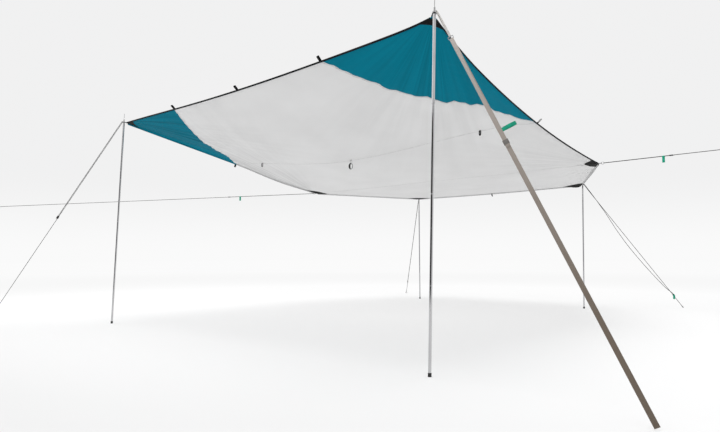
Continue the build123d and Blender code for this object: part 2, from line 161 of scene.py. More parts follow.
# ---- materials --------------------
class Nodes:
    """A material's node tree, written as short calls."""

    def __init__(self, name, color, roughness, metallic=0.0):
        self.material = bpy.data.materials.new(name)
        self.material.use_nodes = True
        self.tree = self.material.node_tree
        self.shader = self.tree.nodes["Principled BSDF"]
        self.output = self.tree.nodes["Material Output"]
        self.shader.inputs["Base Color"].default_value = (*color, 1)
        self.shader.inputs["Roughness"].default_value = roughness
        self.shader.inputs["Metallic"].default_value = metallic
        self.place = self.new("ShaderNodeTexCoord").outputs["Object"]

    def new(self, kind, **settings):
        node = self.tree.nodes.new(kind)
        for key, value in settings.items():
            setattr(node, key, value)
        return node

    def join(self, source, target):
        self.tree.links.new(source, target)

    def noise(self, scale, detail=3.0, stretch=None):
        node = self.new("ShaderNodeTexNoise")
        node.inputs["Scale"].default_value = scale
        node.inputs["Detail"].default_value = detail
        place = self.place
        if stretch:
            mapping = self.new("ShaderNodeMapping")
            mapping.inputs["Scale"].default_value = stretch
            self.join(place, mapping.inputs["Vector"])
            place = mapping.outputs["Vector"]
        self.join(place, node.inputs["Vector"])
        return node.outputs["Fac"]

    def split(self):
        """The X, Y and Z of the place that is being painted."""
        node = self.new("ShaderNodeSeparateXYZ")
        self.join(self.place, node.inputs["Vector"])
        return node.outputs

    def wave(self, scale, axis):
        node = self.new("ShaderNodeTexWave", wave_type="BANDS", bands_direction=axis, wave_profile="SIN")
        node.inputs["Scale"].default_value = scale
        self.join(self.place, node.inputs["Vector"])
        return node.outputs["Fac"]

    def maths(self, operation, first, second):
        node = self.new("ShaderNodeMath", operation=operation)
        for socket, value in zip(node.inputs, (first, second)):
            if isinstance(value, (int, float)):
                socket.default_value = value
            else:
                self.join(value, socket)
        return node.outputs[0]

    def ramp(self, fac, low, high, dark, light):
        node = self.new("ShaderNodeValToRGB")
        node.color_ramp.elements[0].position = low
        node.color_ramp.elements[1].position = high
        node.color_ramp.elements[0].color = (*dark, 1)
        node.color_ramp.elements[1].color = (*light, 1)
        self.join(fac, node.inputs["Fac"])
        return node.outputs["Color"]

    def multiplied(self, first, second, factor=1.0):
        node = self.new("ShaderNodeMix", data_type="RGBA", blend_type="MULTIPLY")
        if isinstance(factor, float):
            node.inputs["Factor"].default_value = factor
        else:
            self.join(factor, node.inputs["Factor"])
        first_color, second_color = node.inputs[6], node.inputs[7]
        self.join(first, first_color)
        self.join(second, second_color)
        return node.outputs[2]

    def mixed_with(self, other, share):
        """The finished surface: the main shader, and the other's share of it."""
        node = self.new("ShaderNodeMixShader")
        if isinstance(share, float):
            node.inputs["Fac"].default_value = share
        else:
            self.join(share, node.inputs["Fac"])
        self.join(self.shader.outputs["BSDF"], node.inputs[1])
        self.join(other, node.inputs[2])
        self.join(node.outputs["Shader"], self.output.inputs["Surface"])

    def color(self, fac, low, high, dark, light):
        color = self.ramp(fac, low, high, dark, light)
        self.join(color, self.shader.inputs["Base Color"])
        return color

    def bump(self, height, distance, strength=1.0):
        node = self.new("ShaderNodeBump")
        node.inputs["Strength"].default_value = strength
        node.inputs["Distance"].default_value = distance
        self.join(height, node.inputs["Height"])
        self.join(node.outputs["Normal"], self.shader.inputs["Normal"])


def shade(color, factor):
    return tuple(min(1.0, c * factor) for c in color)


def weave_height(nodes, per_metre):
    """Threads both ways: one set of bands over the other."""
    warp, weft = nodes.wave(per_metre / pi, "X"), nodes.wave(per_metre / pi, "Y")
    return nodes.maths("MULTIPLY", warp, weft)


def cloth_material(name, color, through=0.35, sheen=0.15, gloss=0.25, folds=()):
    """Coated polyester: a fine weave, faint mottling, light that comes through from above, and painted shade
    in streaks along its folds.
    """
    nodes = Nodes(name, color, 0.62)
    mottle = nodes.noise(2.2, 4)
    shaded = nodes.color(mottle, 0.3, 0.75, shade(color, 0.965), shade(color, 1.02))
    # Painted shade: darker streaks along the folds, multiplied into the colour.
    for fan in folds:
        shaded = painted_fold_shade(nodes, shaded, *fan)
    creases = nodes.noise(9, 6, stretch=(1, 0.35, 1))
    weave = weave_height(nodes, 900)
    nodes.bump(nodes.maths("ADD", nodes.maths("MULTIPLY", creases, 3.0), weave), 0.0004, 0.6)
    nodes.shader.inputs["Sheen Weight"].default_value = sheen
    nodes.shader.inputs["Specular IOR Level"].default_value = gloss
    lit = nodes.new("ShaderNodeBsdfTranslucent")
    nodes.join(shaded, lit.inputs["Color"])
    nodes.mixed_with(lit.outputs["BSDF"], through)
    return nodes.material


def painted_fold_shade(nodes, shaded, corner, pitch, dark, window=None):
    """Painted shade: soft darker streaks that run out from a corner along the cloth's folds.
    A window (middle, half spread, reach) keeps them in one fan, with its angles measured
    from -X towards +Y; without one the streaks are mirrored."""
    x, y, _ = nodes.split()
    along = x if window else nodes.maths("ABSOLUTE", x, 0)
    dx, dy = nodes.maths("SUBTRACT", corner.x, along), nodes.maths("SUBTRACT", y, corner.y)
    angle = nodes.maths("ARCTAN2", dy, dx)
    line = nodes.new("ShaderNodeCombineXYZ")
    nodes.join(nodes.maths("MULTIPLY", angle, pitch), line.inputs["X"])
    nodes.join(nodes.maths("MULTIPLY", x, 0.7), line.inputs["Y"])
    streaks = nodes.new("ShaderNodeTexNoise")
    streaks.inputs["Scale"].default_value = 1.3
    streaks.inputs["Detail"].default_value = 3.5
    nodes.join(line.outputs["Vector"], streaks.inputs["Vector"])
    tone = nodes.ramp(streaks.outputs["Fac"], 0.34, 0.60, (dark,) * 3, (1.0,) * 3)
    strength = 1.0
    if window:
        middle, spread, reach = window
        off = nodes.maths("DIVIDE", nodes.maths("SUBTRACT", angle, middle), spread)
        squares = [nodes.maths("MULTIPLY", part, part) for part in (dx, dy, off)]
        away = nodes.maths("DIVIDE", nodes.maths("ADD", squares[0], squares[1]), reach**2)
        fade = nodes.maths("MULTIPLY", nodes.maths("ADD", squares[2], away), -1.0)
        strength = nodes.maths("EXPONENT", fade, 0)
    folded = nodes.multiplied(shaded, tone, strength)
    nodes.join(folded, nodes.shader.inputs["Base Color"])
    return folded


def webbing_material(name, color, ribs=700, sheen=0.2):
    """Woven tape: ribs, and light wear."""
    nodes = Nodes(name, color, 0.8)
    worn = nodes.noise(40, 5)
    nodes.color(worn, 0.35, 0.7, shade(color, 0.85), shade(color, 1.15))
    nodes.bump(weave_height(nodes, ribs), 0.0006, 0.8)
    nodes.shader.inputs["Sheen Weight"].default_value = sheen
    nodes.shader.inputs["Specular IOR Level"].default_value = 0.2
    return nodes.material


def strap_painted_light_material(name, low, high):
    """Flat webbing, darker near the ground and lighter up high: the lighter upper part is painted light, for
    where it catches the light.
    """
    nodes = Nodes(name, low, 0.8)
    top = 2.1
    height = nodes.maths("ADD", nodes.maths("DIVIDE", nodes.split()["Z"], top),
                         nodes.maths("MULTIPLY", nodes.noise(14, 4), 0.10))
    # Painted light: the colour runs from dark low down to light high up.
    nodes.color(height, 0.25, 1.0, low, high)
    nodes.bump(weave_height(nodes, 700), 0.0006, 0.8)
    nodes.shader.inputs["Specular IOR Level"].default_value = 0.2
    return nodes.material


def steel_material(name, color, roughness):
    """Drawn tube: long fine scratches and a slight change of polish along it."""
    nodes = Nodes(name, color, roughness, 1.0)
    lines = nodes.noise(260, 3, stretch=(1, 1, 0.02))
    patches = nodes.noise(7, 4)
    rough = nodes.new("ShaderNodeMapRange")
    rough.inputs["To Min"].default_value = roughness * 0.75
    rough.inputs["To Max"].default_value = roughness * 1.35
    nodes.join(nodes.maths("MULTIPLY", lines, patches), rough.inputs["Value"])
    nodes.join(rough.outputs["Result"], nodes.shader.inputs["Roughness"])
    nodes.color(patches, 0.3, 0.75, shade(color, 0.92), shade(color, 1.05))
    nodes.bump(lines, 0.00008, 0.3)
    return nodes.material


def plastic_material(name, color, roughness=0.5, grain=900):
    nodes = Nodes(name, color, roughness)
    speckle = nodes.noise(grain, 2)
    nodes.color(nodes.noise(60, 4), 0.3, 0.7, shade(color, 0.85), shade(color, 1.2))
    nodes.bump(speckle, 0.0002, 0.5)
    return nodes.material


GREY = (0.77, 0.77, 0.77)
TEAL = (0.002, 0.192, 0.280)
# For painted_fold_shade, painted shade in streaks along the folds: where the streaks start, how close they
# are, how dark, and their window.
TEAL_FOLD_SHADE = [
    (at(FRONT_HALF + 0.03, -0.03), 9.0, 0.90),
    (at(FRONT_HALF + 0.03, -0.03), 30.0, 0.72, (radians(52), radians(20), 1.5)),
    # The left fan is painted shade: it darkens most of the left coloured panel, for how light falls on that
    # side.
    (at(-FRONT_HALF - 0.03, -0.03), 20.0, 0.48, (radians(135), radians(60), 1.9)),
]
# Painted shade along the grey cloth's wrinkles, in fans from its corners.
GREY_FOLD_SHADE = [
    (at(-SIDE_HALF - 0.02, SIDE_RUN + 0.05), 34.0, 0.62, (radians(-97), radians(20), 2.3)),
    (at(SIDE_HALF + 0.02, SIDE_RUN + 0.03), 10.0, 0.90, (radians(-50), radians(60), 1.0)),
    (at(FRONT_HALF, 0), 14.0, 0.93, (radians(55), radians(30), 2.4)),
    (at(-FRONT_HALF, 0), 14.0, 0.93, (radians(140), radians(30), 1.7)),
]
M = {
    "canopy_grey": cloth_material("canopy_grey", GREY, folds=GREY_FOLD_SHADE),
    "canopy_teal": cloth_material("canopy_teal", TEAL, 0.04, 0.0, 0.02, TEAL_FOLD_SHADE),
    "binding": webbing_material("binding", (0.003, 0.004, 0.006), sheen=0.0),
    "seam": webbing_material("seam", (0.68, 0.68, 0.685)),
    "patch_black": cloth_material("patch_black", (0.004, 0.004, 0.004), 0.0, 0.0, 0.1),
    "webbing_black": webbing_material("webbing_black", (0.004, 0.004, 0.005), sheen=0.0),
    "thread": webbing_material("thread", (0.45, 0.45, 0.46)),
    "plastic_black": plastic_material("plastic_black", (0.015, 0.015, 0.016), 0.5),
    "buckle_grey": plastic_material("buckle_grey", (0.15, 0.14, 0.13), 0.5),
    "ring_steel": steel_material("ring_steel", (0.33, 0.33, 0.34), 0.38),
    "pole_steel": steel_material("pole_steel", (0.54, 0.54, 0.55), 0.12),
    "tip_steel": steel_material("tip_steel", (0.42, 0.42, 0.42), 0.38),
    "rubber_black": plastic_material("rubber_black", (0.018, 0.018, 0.018), 0.75, 500),
    "ribbon_green": webbing_material("ribbon_green", (0.012, 0.33, 0.205), sheen=0.05),
    "strap_greige": strap_painted_light_material("strap_greige", (0.175, 0.140, 0.110), (0.50, 0.455, 0.42)),
    "strap_light": webbing_material("strap_light", (0.55, 0.53, 0.51)),
    "cord_grey": webbing_material("cord_grey", (0.014, 0.013, 0.0125), sheen=0.0),
}


# ---- guys --------------------
END_UP = 0.014
# name: (far end, distance from ring to slider, cord radius with its fuzz)
GUYS = {
    "front_left": (at(-3.200, -0.845, END_UP), 1.250, 0.0024),
    "right_side": (at(3.175, 3.019, 1.651), 0.600, 0.0029),
    "left_side": (at(-5.840, -0.188, 1.448), 1.270, 0.0029),
    "rear_left": (at(-2.194, 5.527, END_UP), 1.760, 0.0029),
    "rear_right": (at(2.296, 5.531, END_UP), 1.870, 0.0029),
}
RIBBONS = {"right_side": 0.535, "left_side": 1.105, "rear_right": 1.870}  # distances from the ring
STRAP_END = at(3.181, -0.259, 0.008)
STRAP_RING, STRAP_RING_HIGH, STRAP_RIBBON, STRAP_BUCKLE = 0.225, 0.018, 0.945, 1.022
STRAP_FACES = Vector((0.44, -0.87, -0.24))
STRAP_TURN = radians(38)          # the webbing's slight twist between its ring and its buckle
# The rear right guy's slack leg: (distance from the ring, depth below the taut leg).
SLACK = [
    (0.046, 0.000), (0.112, 0.003), (0.184, 0.005), (0.255, 0.008), (0.329, 0.013),
    (0.402, 0.017), (0.474, 0.022), (0.545, 0.029), (0.619, 0.038), (0.690, 0.046),
    (0.762, 0.053), (0.835, 0.057), (0.906, 0.061), (0.979, 0.064), (1.052, 0.065),
    (1.124, 0.064), (1.195, 0.062), (1.268, 0.060), (1.340, 0.057), (1.412, 0.053),
    (1.484, 0.048), (1.557, 0.043), (1.628, 0.036), (1.699, 0.030), (1.752, 0.021),
    (1.800, 0.010),
]


def spline(name, points, resolution):
    """A curve with one open NURBS spline of order 3 on these control points."""
    curve = bpy.data.curves.new(name, "CURVE")
    curve.dimensions = "3D"
    line = curve.splines.new("NURBS")
    line.points.add(len(points) - 1)
    for place, point in zip(line.points, points):
        place.co = (*point, 1)
    line.order_u = 3
    line.use_endpoint_u = True
    line.resolution_u = resolution
    return curve


def cord_piece(name, points, radius, node):
    curve = spline(name, points, 8)
    curve.bevel_depth = radius
    curve.bevel_resolution = 3
    curve.use_fill_caps = True
    return add(name, curve, "cord_grey", node)


def guy_line(name):
    """The whole cord of a doubled guy, or the taut leg alone of the one whose other leg hangs slack."""
    far, slider, radius = GUYS[name]
    place = guy_axes(name, far)
    long = (far - place.translation).length - 2 * END_EYE_R
    half, near = LEG_GAP / 2, 12 * radius
    local = [(long, 0, -half), (long * 0.5, 0, -half), (near, 0, -half), (-half, 0, -half), (-half, 0, half)]
    if name == "rear_right":              # ends where the slack leg starts
        local[-1] = (-half * 0.9, 0, half * 0.75)
        local.append((0, 0, half))
    else:
        local += [(near, 0, half), (slider * 0.5, 0, half), (slider + SLIDER_TAIL, 0, half)]
    points = [place @ Vector(point) for point in local]
    piece = cord_piece(f"{name}_guy_line", points, radius, f"{name}_guy")


def slack_line():
    """The rear right guy's second leg, from its ring to the tail below its slider."""
    far, slider, radius = GUYS["rear_right"]
    place = guy_axes("rear_right", far)
    half = LEG_GAP / 2
    local = [(0, 0, half)] + [(distance, 0, half - depth) for distance, depth in SLACK]
    local += [(slider - 0.046, 0, half), (slider - 0.030, 0, half), (slider + SLIDER_TAIL, 0, half)]
    points = [place @ Vector(point) for point in local]
    piece = cord_piece("rear_right_guy_slack_line", points, radius, "rear_right_guy_slack_leg")


for guy in GUYS:
    guy_line(guy)
slack_line()


def route(points):
    """The smooth line that a spline makes of these control points."""
    holder = bpy.data.objects.new("route", spline("route", points, 10))
    scene.collection.objects.link(holder)
    mesh = bpy.data.meshes.new_from_object(holder)
    made = [vertex.co.copy() for vertex in mesh.vertices]
    bpy.data.objects.remove(holder)
    bpy.data.meshes.remove(mesh)
    return made


def band(name, centres, sides, thick, rows=6):
    """A flat band along centres; sides are the half-width vectors. Its two long edges are rounded.
    The thickness is one number, or one for each centre."""
    build = bmesh.new()
    rings = []
    for i, (centre, side) in enumerate(zip(centres, sides)):
        before, after = centres[max(i - 1, 0)], centres[min(i + 1, len(centres) - 1)]
        here = thick[i] if isinstance(thick, list) else thick
        normal = (after - before).cross(side).normalized() * here / 2
        ring = []
        for face in (1, -1):
            for k in range(rows + 1):
                across = face * (-1 + 2 * k / rows)
                ring.append(centre + side * across + normal * face * (1 if abs(across) < 1 else 0.35))
        rings.append([build.verts.new(point) for point in ring])
    for a, b in zip(rings, rings[1:]):
        join_rows(build, a, b, closed=True)
    build.faces.new(reversed(rings[0]))
    build.faces.new(rings[-1])
    build.normal_update()
    bmesh.ops.recalc_face_normals(build, faces=build.faces)
    return finished(name, build)


def strap_axes(distance=0.0):
    """As guy_axes for the flat strap, moved down it: Z is the way its flat faces."""
    turn = guy_axes("front_right", STRAP_END).translation
    down = (STRAP_END - turn).normalized()
    return axes(turn + down * distance, down, STRAP_FACES)


def make_strap():
    """One webbing: from the buckle up to the square ring, round it, and down to the ground."""
    top = STRAP_RING + STRAP_RING_HIGH
    place = strap_axes(top)
    long = (STRAP_END - place.translation).length
    half, near = STRAP_GAP / 2, 0.020
    down = [0.1 * k for k in range(1, 8)]
    local = [(STRAP_BUCKLE - top + STRAP_TAIL, 0, half)] + [(x, 0, half) for x in reversed(down)]
    local += [(near, 0, half), (-half, 0, half), (-half, 0, -half), (near, 0, -half)]
    local += [(x, 0, -half) for x in down + [0.9, long]]
    centres, widths = [], []
    inverse = place.inverted()
    for point in route([place @ Vector(point) for point in local]):
        own = inverse @ point
        angle = STRAP_TURN * smooth(0.03, 0.20, own.x) * (1 - smooth(0.35, 0.74, own.x))
        turn = Matrix.Rotation(angle, 4, "X")
        centres.append(place @ turn @ own)
        widths.append((place @ turn).to_3x3() @ Vector((0, STRAP_WIDE / 2, 0)))
    mesh = band("strap", centres, widths, STRAP_THICK)
    piece = add("front_right_guy_webbing", mesh, "strap_greige", "front_right_guy_strap")


def make_strap_link():
    """Narrow webbing loop that turns a quarter between the pole's ring and the square ring."""
    place = guy_axes("front_right", STRAP_END)
    facing = place.to_3x3() @ Vector((0, 1, 0))
    other = strap_axes().to_3x3() @ Vector((0, 1, 0))
    if facing.dot(other) < 0:
        other = -other
    half_gap, half_wide, long, steps = 0.0033, 0.0068, STRAP_RING, 40
    centres, sides = [], []
    for leg in (1, -1):
        for i in range(steps + 1):
            t = i / steps if leg > 0 else 1 - i / steps
            turned = facing.lerp(other, t * t * (3 - 2 * t)).normalized()
            normal = (place.to_3x3() @ Vector((1, 0, 0))).cross(turned)
            centres.append(place @ Vector((t * long, 0, 0)) - normal * half_gap * leg)
            sides.append(turned * half_wide)
    centres.append(centres[0])
    sides.append(sides[0])
    mesh = band("link", centres, sides, STRAP_THICK)
    # Painted pale like the strap's lit upper end, a painted highlight, though its slot is black webbing.
    add("front_right_guy_link_webbing", mesh, "webbing_black", "front_right_guy_link", "strap_light")


def tab(name, node, place, profile, body="canopy"):
    """A ribbon folded into a loop: profile holds (sideways, up) in the tab's own frame, whose X is
    along the ribbon's width and whose -Z is the way that it hangs."""
    mirrored = [(-side, up) for side, up in reversed(profile)]
    centres = route([place @ Vector((0, side, up)) for side, up in profile + mirrored])
    half = place.to_3x3() @ Vector((RIBBON_WIDE / 2, 0, 0))
    mesh = band(name, centres, [half] * len(centres), RIBBON_THICK)
    add(name, mesh, "ribbon_green", node, body=body)


def level_axes(origin, along):
    """Z up, X level and along the guy."""
    x = flat(along).normalized()
    up = Vector((0, 0, 1))
    return Matrix.Translation(origin) @ Matrix((x, up.cross(x), up)).transposed().to_4x4()


RIBBON_WIDE, RIBBON_THICK = 0.022, 0.0009
# Half profiles of the folded ribbons: (sideways, up).
WRAPPED = [(0.0, 0.0040), (0.0078, 0.0042), (0.0080, -0.0040), (0.0016, -0.0180), (0.0046, -0.0400),
           (0.0030, -0.0575), (0.0, -0.0610)]
BESIDE = [(0.0007, 0.0090), (0.0009, -0.0050), (0.0040, -0.0260), (0.0026, -0.0480), (0.0, -0.0510)]
STANDING = [(0.0024, 0.0110), (0.0016, -0.0140), (0.0050, -0.0500), (0.0034, -0.0880), (0.0, -0.0910)]


def make_ribbons():
    """Green pull tabs: round the two side guys, beside the rear right slider, and out of the strap."""
    beside_slider = -0.0065
    for name, distance in RIBBONS.items():
        place = guy_axes(name, GUYS[name][0])
        beside = 0 if name in SIDES else beside_slider
        middle = level_axes(place @ Vector((distance, beside, 0)), place.to_3x3() @ Vector((1, 0, 0)))
        profile, body = (WRAPPED, "canopy") if name in SIDES else (BESIDE, f"{name}_slider")
        tab(f"{name}_guy_tab", f"{name}_guy_ribbon", middle, profile, body)
    turn = Matrix(((1, 0, 0), (0, 0, -1), (0, 1, 0))).to_4x4()
    tab("front_right_guy_tab", "front_right_guy_ribbon", strap_axes(STRAP_RIBBON) @ turn, STANDING)


make_strap()
make_strap_link()
make_ribbons()


# ---- the cloth's surface --------------------
def half_width(run):
    if run < SIDE_RUN:
        return FRONT_HALF + (SIDE_HALF - FRONT_HALF) * run / SIDE_RUN
    return SIDE_HALF + (REAR_HALF - SIDE_HALF) * (run - SIDE_RUN) / (REAR_RUN - SIDE_RUN)


def tight_height(x, run):
    """The CAD sheet: straight sides, a belly between them, a droop and a peak at the right."""
    side = SIDE_HIGH + (FRONT_HIGH - SIDE_HIGH) * max(0, 1 - run / SIDE_RUN)
    fall = max(0, 1 - max(run, 0) / REAR_RUN) ** BELLY_FALL
    middle = BELLY_HIGH + (FRONT_HIGH - FRONT_DIP - BELLY_HIGH) * fall
    across = min(1, abs(x) / half_width(run))
    droop = 0
    if x > 0 and 0 < run < SIDE_RUN:
        droop = DROOP * sin(pi * (run / SIDE_RUN) ** 0.85) ** 0.9 * across**3
        droop *= 1 - 0.45 * exp(-((run / 0.27) ** 2))
    elif x < 0 and SIDE_RUN / 2 < run < SIDE_RUN:
        droop = 0.022 * sin(2 * pi * (run / SIDE_RUN - 0.5)) ** 2 * across**3
    peak = PEAK_RISE * exp(-hypot(x - FRONT_HALF, run) / (PEAK_SPREAD * 0.8))
    return side - (side - middle) * (1 - across**2) ** CROWN - droop + peak


SEAM_FRONT, SEAM_SIDE = FRONT_HALF / 2, SIDE_RUN / 2


def seam_place(x, run):
    """For a point on the right half: how far along the coloured corner's seam its ray from the corner
    crosses, 0 at the front edge and 1 at the side, and how far out it is, 1 on the seam."""
    ax, ay = SEAM_FRONT - FRONT_HALF, 0.0
    bx, by = half_width(SEAM_SIDE) - FRONT_HALF, SEAM_SIDE
    px, py = x - FRONT_HALF, run
    det = ax * by - ay * bx
    s, t = (px * by - py * bx) / det, (ax * py - ay * px) / det
    out = s + t
    if out < 1e-6:
        return 0.5, 0.0
    return t / out, out


# Heights of the coloured panels' seams: (how far along from the front edge, height).
RIGHT_SEAM = [
    (0.000, 2.133), (0.050, 2.109), (0.100, 2.076), (0.150, 2.047), (0.200, 2.020), (0.226, 2.012),
    (0.252, 1.997), (0.278, 1.974), (0.304, 1.960), (0.331, 1.960), (0.357, 1.951), (0.384, 1.939),
    (0.411, 1.928), (0.438, 1.931), (0.470, 1.930), (0.500, 1.917), (0.534, 1.897), (0.548, 1.891),
    (0.562, 1.899), (0.590, 1.913), (0.620, 1.907), (0.645, 1.901), (0.665, 1.890), (0.704, 1.900),
    (0.732, 1.896), (0.761, 1.880), (0.790, 1.853), (0.840, 1.838), (0.894, 1.815), (0.924, 1.799),
    (0.954, 1.801), (1.000, 1.797),
]
LEFT_SEAM = [
    (0.000, 2.133), (0.050, 2.105), (0.086, 2.082), (0.125, 2.059), (0.206, 2.022), (0.290, 1.990),
    (0.380, 1.963), (0.425, 1.950), (0.472, 1.951), (0.520, 1.952), (0.570, 1.944), (0.623, 1.939),
    (0.675, 1.944), (0.730, 1.942), (0.790, 1.943), (0.845, 1.938), (0.905, 1.923), (0.967, 1.904),
    (1.000, 1.897),
]


def from_table(table, value):
    """Value of a table between its rows, eased so that the rows are the crests and hollows."""
    for (a, low), (b, high) in zip(table, table[1:]):
        if value <= b:
            eased, even = smooth(a, b, value), (value - a) / (b - a)
            return low + (high - low) * (eased + even) / 2
    return table[-1][1]


def seam_point(side, along):
    """The (x, run) of a point on a coloured panel's seam."""
    return side * (SEAM_FRONT + (half_width(SEAM_SIDE) - SEAM_FRONT) * along), SEAM_SIDE * along


def corner_folds(x, run):
    """Folds that fan out from the two high corners and ruffle the coloured panels' seams."""
    side = 1 if x > 0 else -1
    along, out = seam_place(abs(x), run)
    if along <= 0.0 or along >= 1.0 or out > 1.8:
        return 0.0
    edges = smooth(0, 0.06, along) * smooth(0, 0.06, 1 - along)
    seam = from_table(RIGHT_SEAM if side > 0 else LEFT_SEAM, along)
    ruffle = seam - tight_height(*seam_point(side, along))
    fade = smooth(0, 1, out) if out < 1 else exp(-(((out - 1) / 0.22) ** 2))
    deepest = min(out, 1) * exp(-((out - 0.7) / 0.5) ** 2)
    pleats = 0.0035 * sin(2 * pi * along / 0.062 + 2 * sin(9 * along)) * deepest
    return (ruffle * fade + pleats) * edges


def fan_folds(x, run, name, toward, spread, period, deep, reach):
    """Tension folds in a fan from a corner: toward is the fan's middle direction in degrees."""
    corner = CORNERS[name]
    dx, dy = x - corner.x, run - (corner.y - FRONT_Y)
    away = hypot(dx, dy)
    turn = (atan2(dy, dx) - radians(toward) + pi) % (2 * pi) - pi
    if abs(turn) > radians(spread) or away < 1e-4:
        return 0.0
    window = cos(turn / radians(spread) * pi / 2) ** 2
    rise = smooth(0.02, 0.25, away) * (1 - smooth(reach * 0.35, reach, away))
    return deep * window * rise * cos(2 * pi * turn / radians(period))


# For fan_folds: corner, toward, spread, period, deep, reach.
FANS = [
    ("left_side", 96, 22, 5.2, 0.0060, 2.1),
    ("left_side", 35, 40, 11, 0.0035, 1.3),
    ("right_side", 118, 34, 9.0, 0.0045, 1.3),
    ("right_side", 196, 30, 9.0, 0.0035, 1.2),
    ("rear_left", 62, 34, 10, 0.0035, 1.0),
    ("rear_right", 118, 34, 10, 0.0035, 1.0),
    ("front_left", -28, 26, 6.0, 0.0040, 1.8),
]


def slack_ripples(x, run):
    """Loose cloth along the front edge's left half, and gentle uneven billows all over."""
    near_edge = exp(-((run - 0.10) / 0.10) ** 2) * smooth(-1.25, -0.95, x) * (1 - smooth(-0.5, -0.2, x))
    front = 0.010 * near_edge
    place = Vector((x * 0.9, run * 0.55, 0.3))
    billow = noise.noise(place) * 0.010 + noise.noise(place * 3.1) * 0.0035 + noise.noise(place * 7) * 0.0009
    return front + billow


def cloth_height(x, run):
    across = min(1, abs(x) / half_width(run))
    pinned = (1 - across**6) * smooth(0, 0.25, run) * smooth(0, 0.25, REAR_RUN - run)
    corner_free = min(1.0, min((Vector((x, run, 0)) - Vector((c.x, c.y - FRONT_Y, 0))).length
                               for c in CORNERS.values()) / 0.25)
    height = tight_height(x, run) + corner_folds(x, run) * corner_free
    height += slack_ripples(x, run) * pinned * corner_free
    for fan in FANS:
        height += fan_folds(x, run, *fan)
    return height


def on_cloth(x, run, lift=0.0):
    return at(x, run, cloth_height(x, run) + lift)


def outline(grow=0.0):
    """The cloth's plan corners, each short of its eyelet, as (x, run)."""
    points = []
    for name in CORNERS:
        point = flat(CORNERS[name]) + inward(name) * (CORNER_CUT - grow)
        points.append((point.x, point.y - FRONT_Y))
    return points


def cloth_grid(columns=150, rows=176):
    """The whole cloth as one flat sheet in plan, cut through along the coloured corners' seams."""
    (_, front), (right_x, _), (side_x, side_run), (rear_x, rear_run) = outline()[:4]
    build = bmesh.new()
    grid = []
    for j in range(rows + 1):
        run = front + (rear_run - front) * j / rows
        if run < side_run:
            half = right_x + (side_x - right_x) * (run - front) / (side_run - front)
        else:
            half = side_x + (rear_x - side_x) * (run - side_run) / (rear_run - side_run)
        grid.append([build.verts.new((half * (-1 + 2 * i / columns), run, 0)) for i in range(columns + 1)])
    for a, b in zip(grid, grid[1:]):
        join_rows(build, a, b)
    for side in (-1, 1):
        start = Vector((side * SEAM_FRONT, 0, 0))
        end = Vector((side * half_width(SEAM_SIDE), SEAM_SIDE, 0))
        normal = (end - start).cross(Vector((0, 0, 1)))
        bmesh.ops.bisect_plane(build, geom=build.verts[:] + build.edges[:] + build.faces[:],
                               plane_co=start, plane_no=normal, dist=0.002)
    return build


def panel_of(x, run):
    """Which of the three panels a point of the canopy is on."""
    _, out = seam_place(abs(x), run)
    if out > 1 or run > SEAM_SIDE:
        return "main"
    return "right" if x > 0 else "left"


def thicken(piece, thick):
    modifier = piece.modifiers.new("thickness", "SOLIDIFY")
    modifier.thickness, modifier.offset = thick, 0


CLOTH_THICK = 0.0007
# key: (piece, slot, CAD node, flat size, area)
PANELS = {
    "main": ("canopy_main_cloth", "canopy_grey", "canopy_main_panel", (4.15, 4.80), 16.6),
    "right": ("canopy_front_right_cloth", "canopy_teal", "canopy_front_right_panel", (1.02, 1.56), 0.79),
    "left": ("canopy_front_left_cloth", "canopy_teal", "canopy_front_left_panel", (1.02, 1.56), 0.79),
}


def make_cloth():
    """The three panels, each the whole grid without the other panels' faces, set to the cloth's height."""
    whole = cloth_grid()
    for key, (name, slot, node, flat_size, area) in PANELS.items():
        part = whole.copy()
        middles = [(face, face.calc_center_median()) for face in part.faces]
        other = [face for face, middle in middles if panel_of(middle.x, middle.y) != key]
        bmesh.ops.delete(part, geom=other, context="FACES")
        for vertex in part.verts:
            vertex.co = on_cloth(vertex.co.x, vertex.co.y)
        piece = add(name, finished(name, part), slot)
        thicken(piece, CLOTH_THICK)
        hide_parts(node)
    whole.free()


make_cloth()


# ---- trims on the cloth --------------------
def shell(name, rows, thick, slot, material=None):
    """A thin closed skin over a grid of points."""
    build = bmesh.new()
    grid = [[build.verts.new(point) for point in row] for row in rows]
    for a, b in zip(grid, grid[1:]):
        join_rows(build, a, b)
    piece = add(name, finished(name, build), slot, material=material)
    thicken(piece, thick)
    return piece


def joined(name, pieces, slot, node, material=None):
    """Applies the modifiers of several pieces and makes one of them."""
    build = bmesh.new()
    graph = bpy.context.evaluated_depsgraph_get()
    for piece in pieces:
        made = bpy.data.meshes.new_from_object(piece.evaluated_get(graph))
        build.from_mesh(made)
        bpy.data.meshes.remove(made)
    for piece in pieces:
        bpy.data.objects.remove(piece)
    add(name, finished(name, build), slot, node, material)


def spaced(points, step):
    """Points along a polyline of (x, run) pairs, no further apart than step."""
    made = [points[0]]
    for (ax, ay), (bx, by) in zip(points, points[1:]):
        count = max(1, round(hypot(bx - ax, by - ay) / step))
        made += [(ax + (bx - ax) * i / count, ay + (by - ay) * i / count) for i in range(1, count + 1)]
    return made


# Sections across the cut edge: (outwards, up).
TAPE = [(-0.010, 0.0018), (-0.001, 0.0026), (0.0020, 0.0016), (0.0028, -0.003),
        (0.0026, -0.0125), (0.0008, -0.0135), (0.0004, -0.0020), (-0.010, 0.0006)]
HEM = [(-0.0150, -0.0012), (-0.0150, -0.0022), (-0.0070, -0.0030), (-0.0004, -0.0130),
       (0.0003, -0.0122), (0.0003, -0.0012)]
# name: (section, slot, CAD node)
EDGE_TRIMS = {
    "edge_binding_tape": (TAPE, "binding", "edge_binding"),
    "edge_hem": (HEM, "canopy_grey", None),
    "edge_hem_teal": (HEM, "canopy_teal", None),
}


